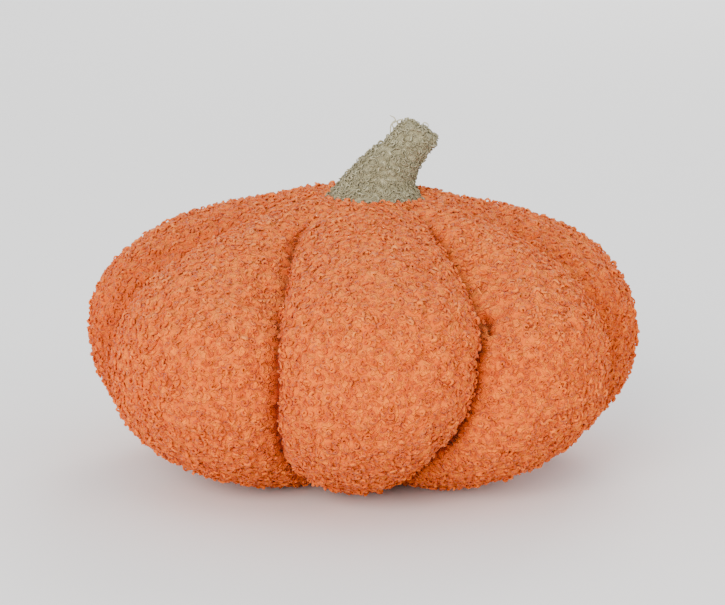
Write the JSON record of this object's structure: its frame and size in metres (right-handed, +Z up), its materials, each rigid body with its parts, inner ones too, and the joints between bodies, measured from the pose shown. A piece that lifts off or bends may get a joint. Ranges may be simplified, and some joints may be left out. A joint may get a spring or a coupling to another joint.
{
  "type": "stuffed fabric pumpkin ornament",
  "caption": "Stuffed pumpkin ornament of looped fabric: a low round body drawn in along its sewn seams, with a leaning fabric stem, to stand on a shelf, table or sofa.",
  "frame": {"origin": "middle of the footprint box, on the surface that the pumpkin rests on", "axes": "+Z up, -Y to the front as in the picture, +X to the viewer's right, the way the stem leans"},
  "size_m": [0.303, 0.2942, 0.1932],
  "materials": {
    "orange_boucle": "matte looped pile",
    "sage_boucle": "matte looped pile"
  },
  "bodies": {
    "root": {"body": "orange_boucle", "stem": "sage_boucle"}
  },
  "joints": []
}
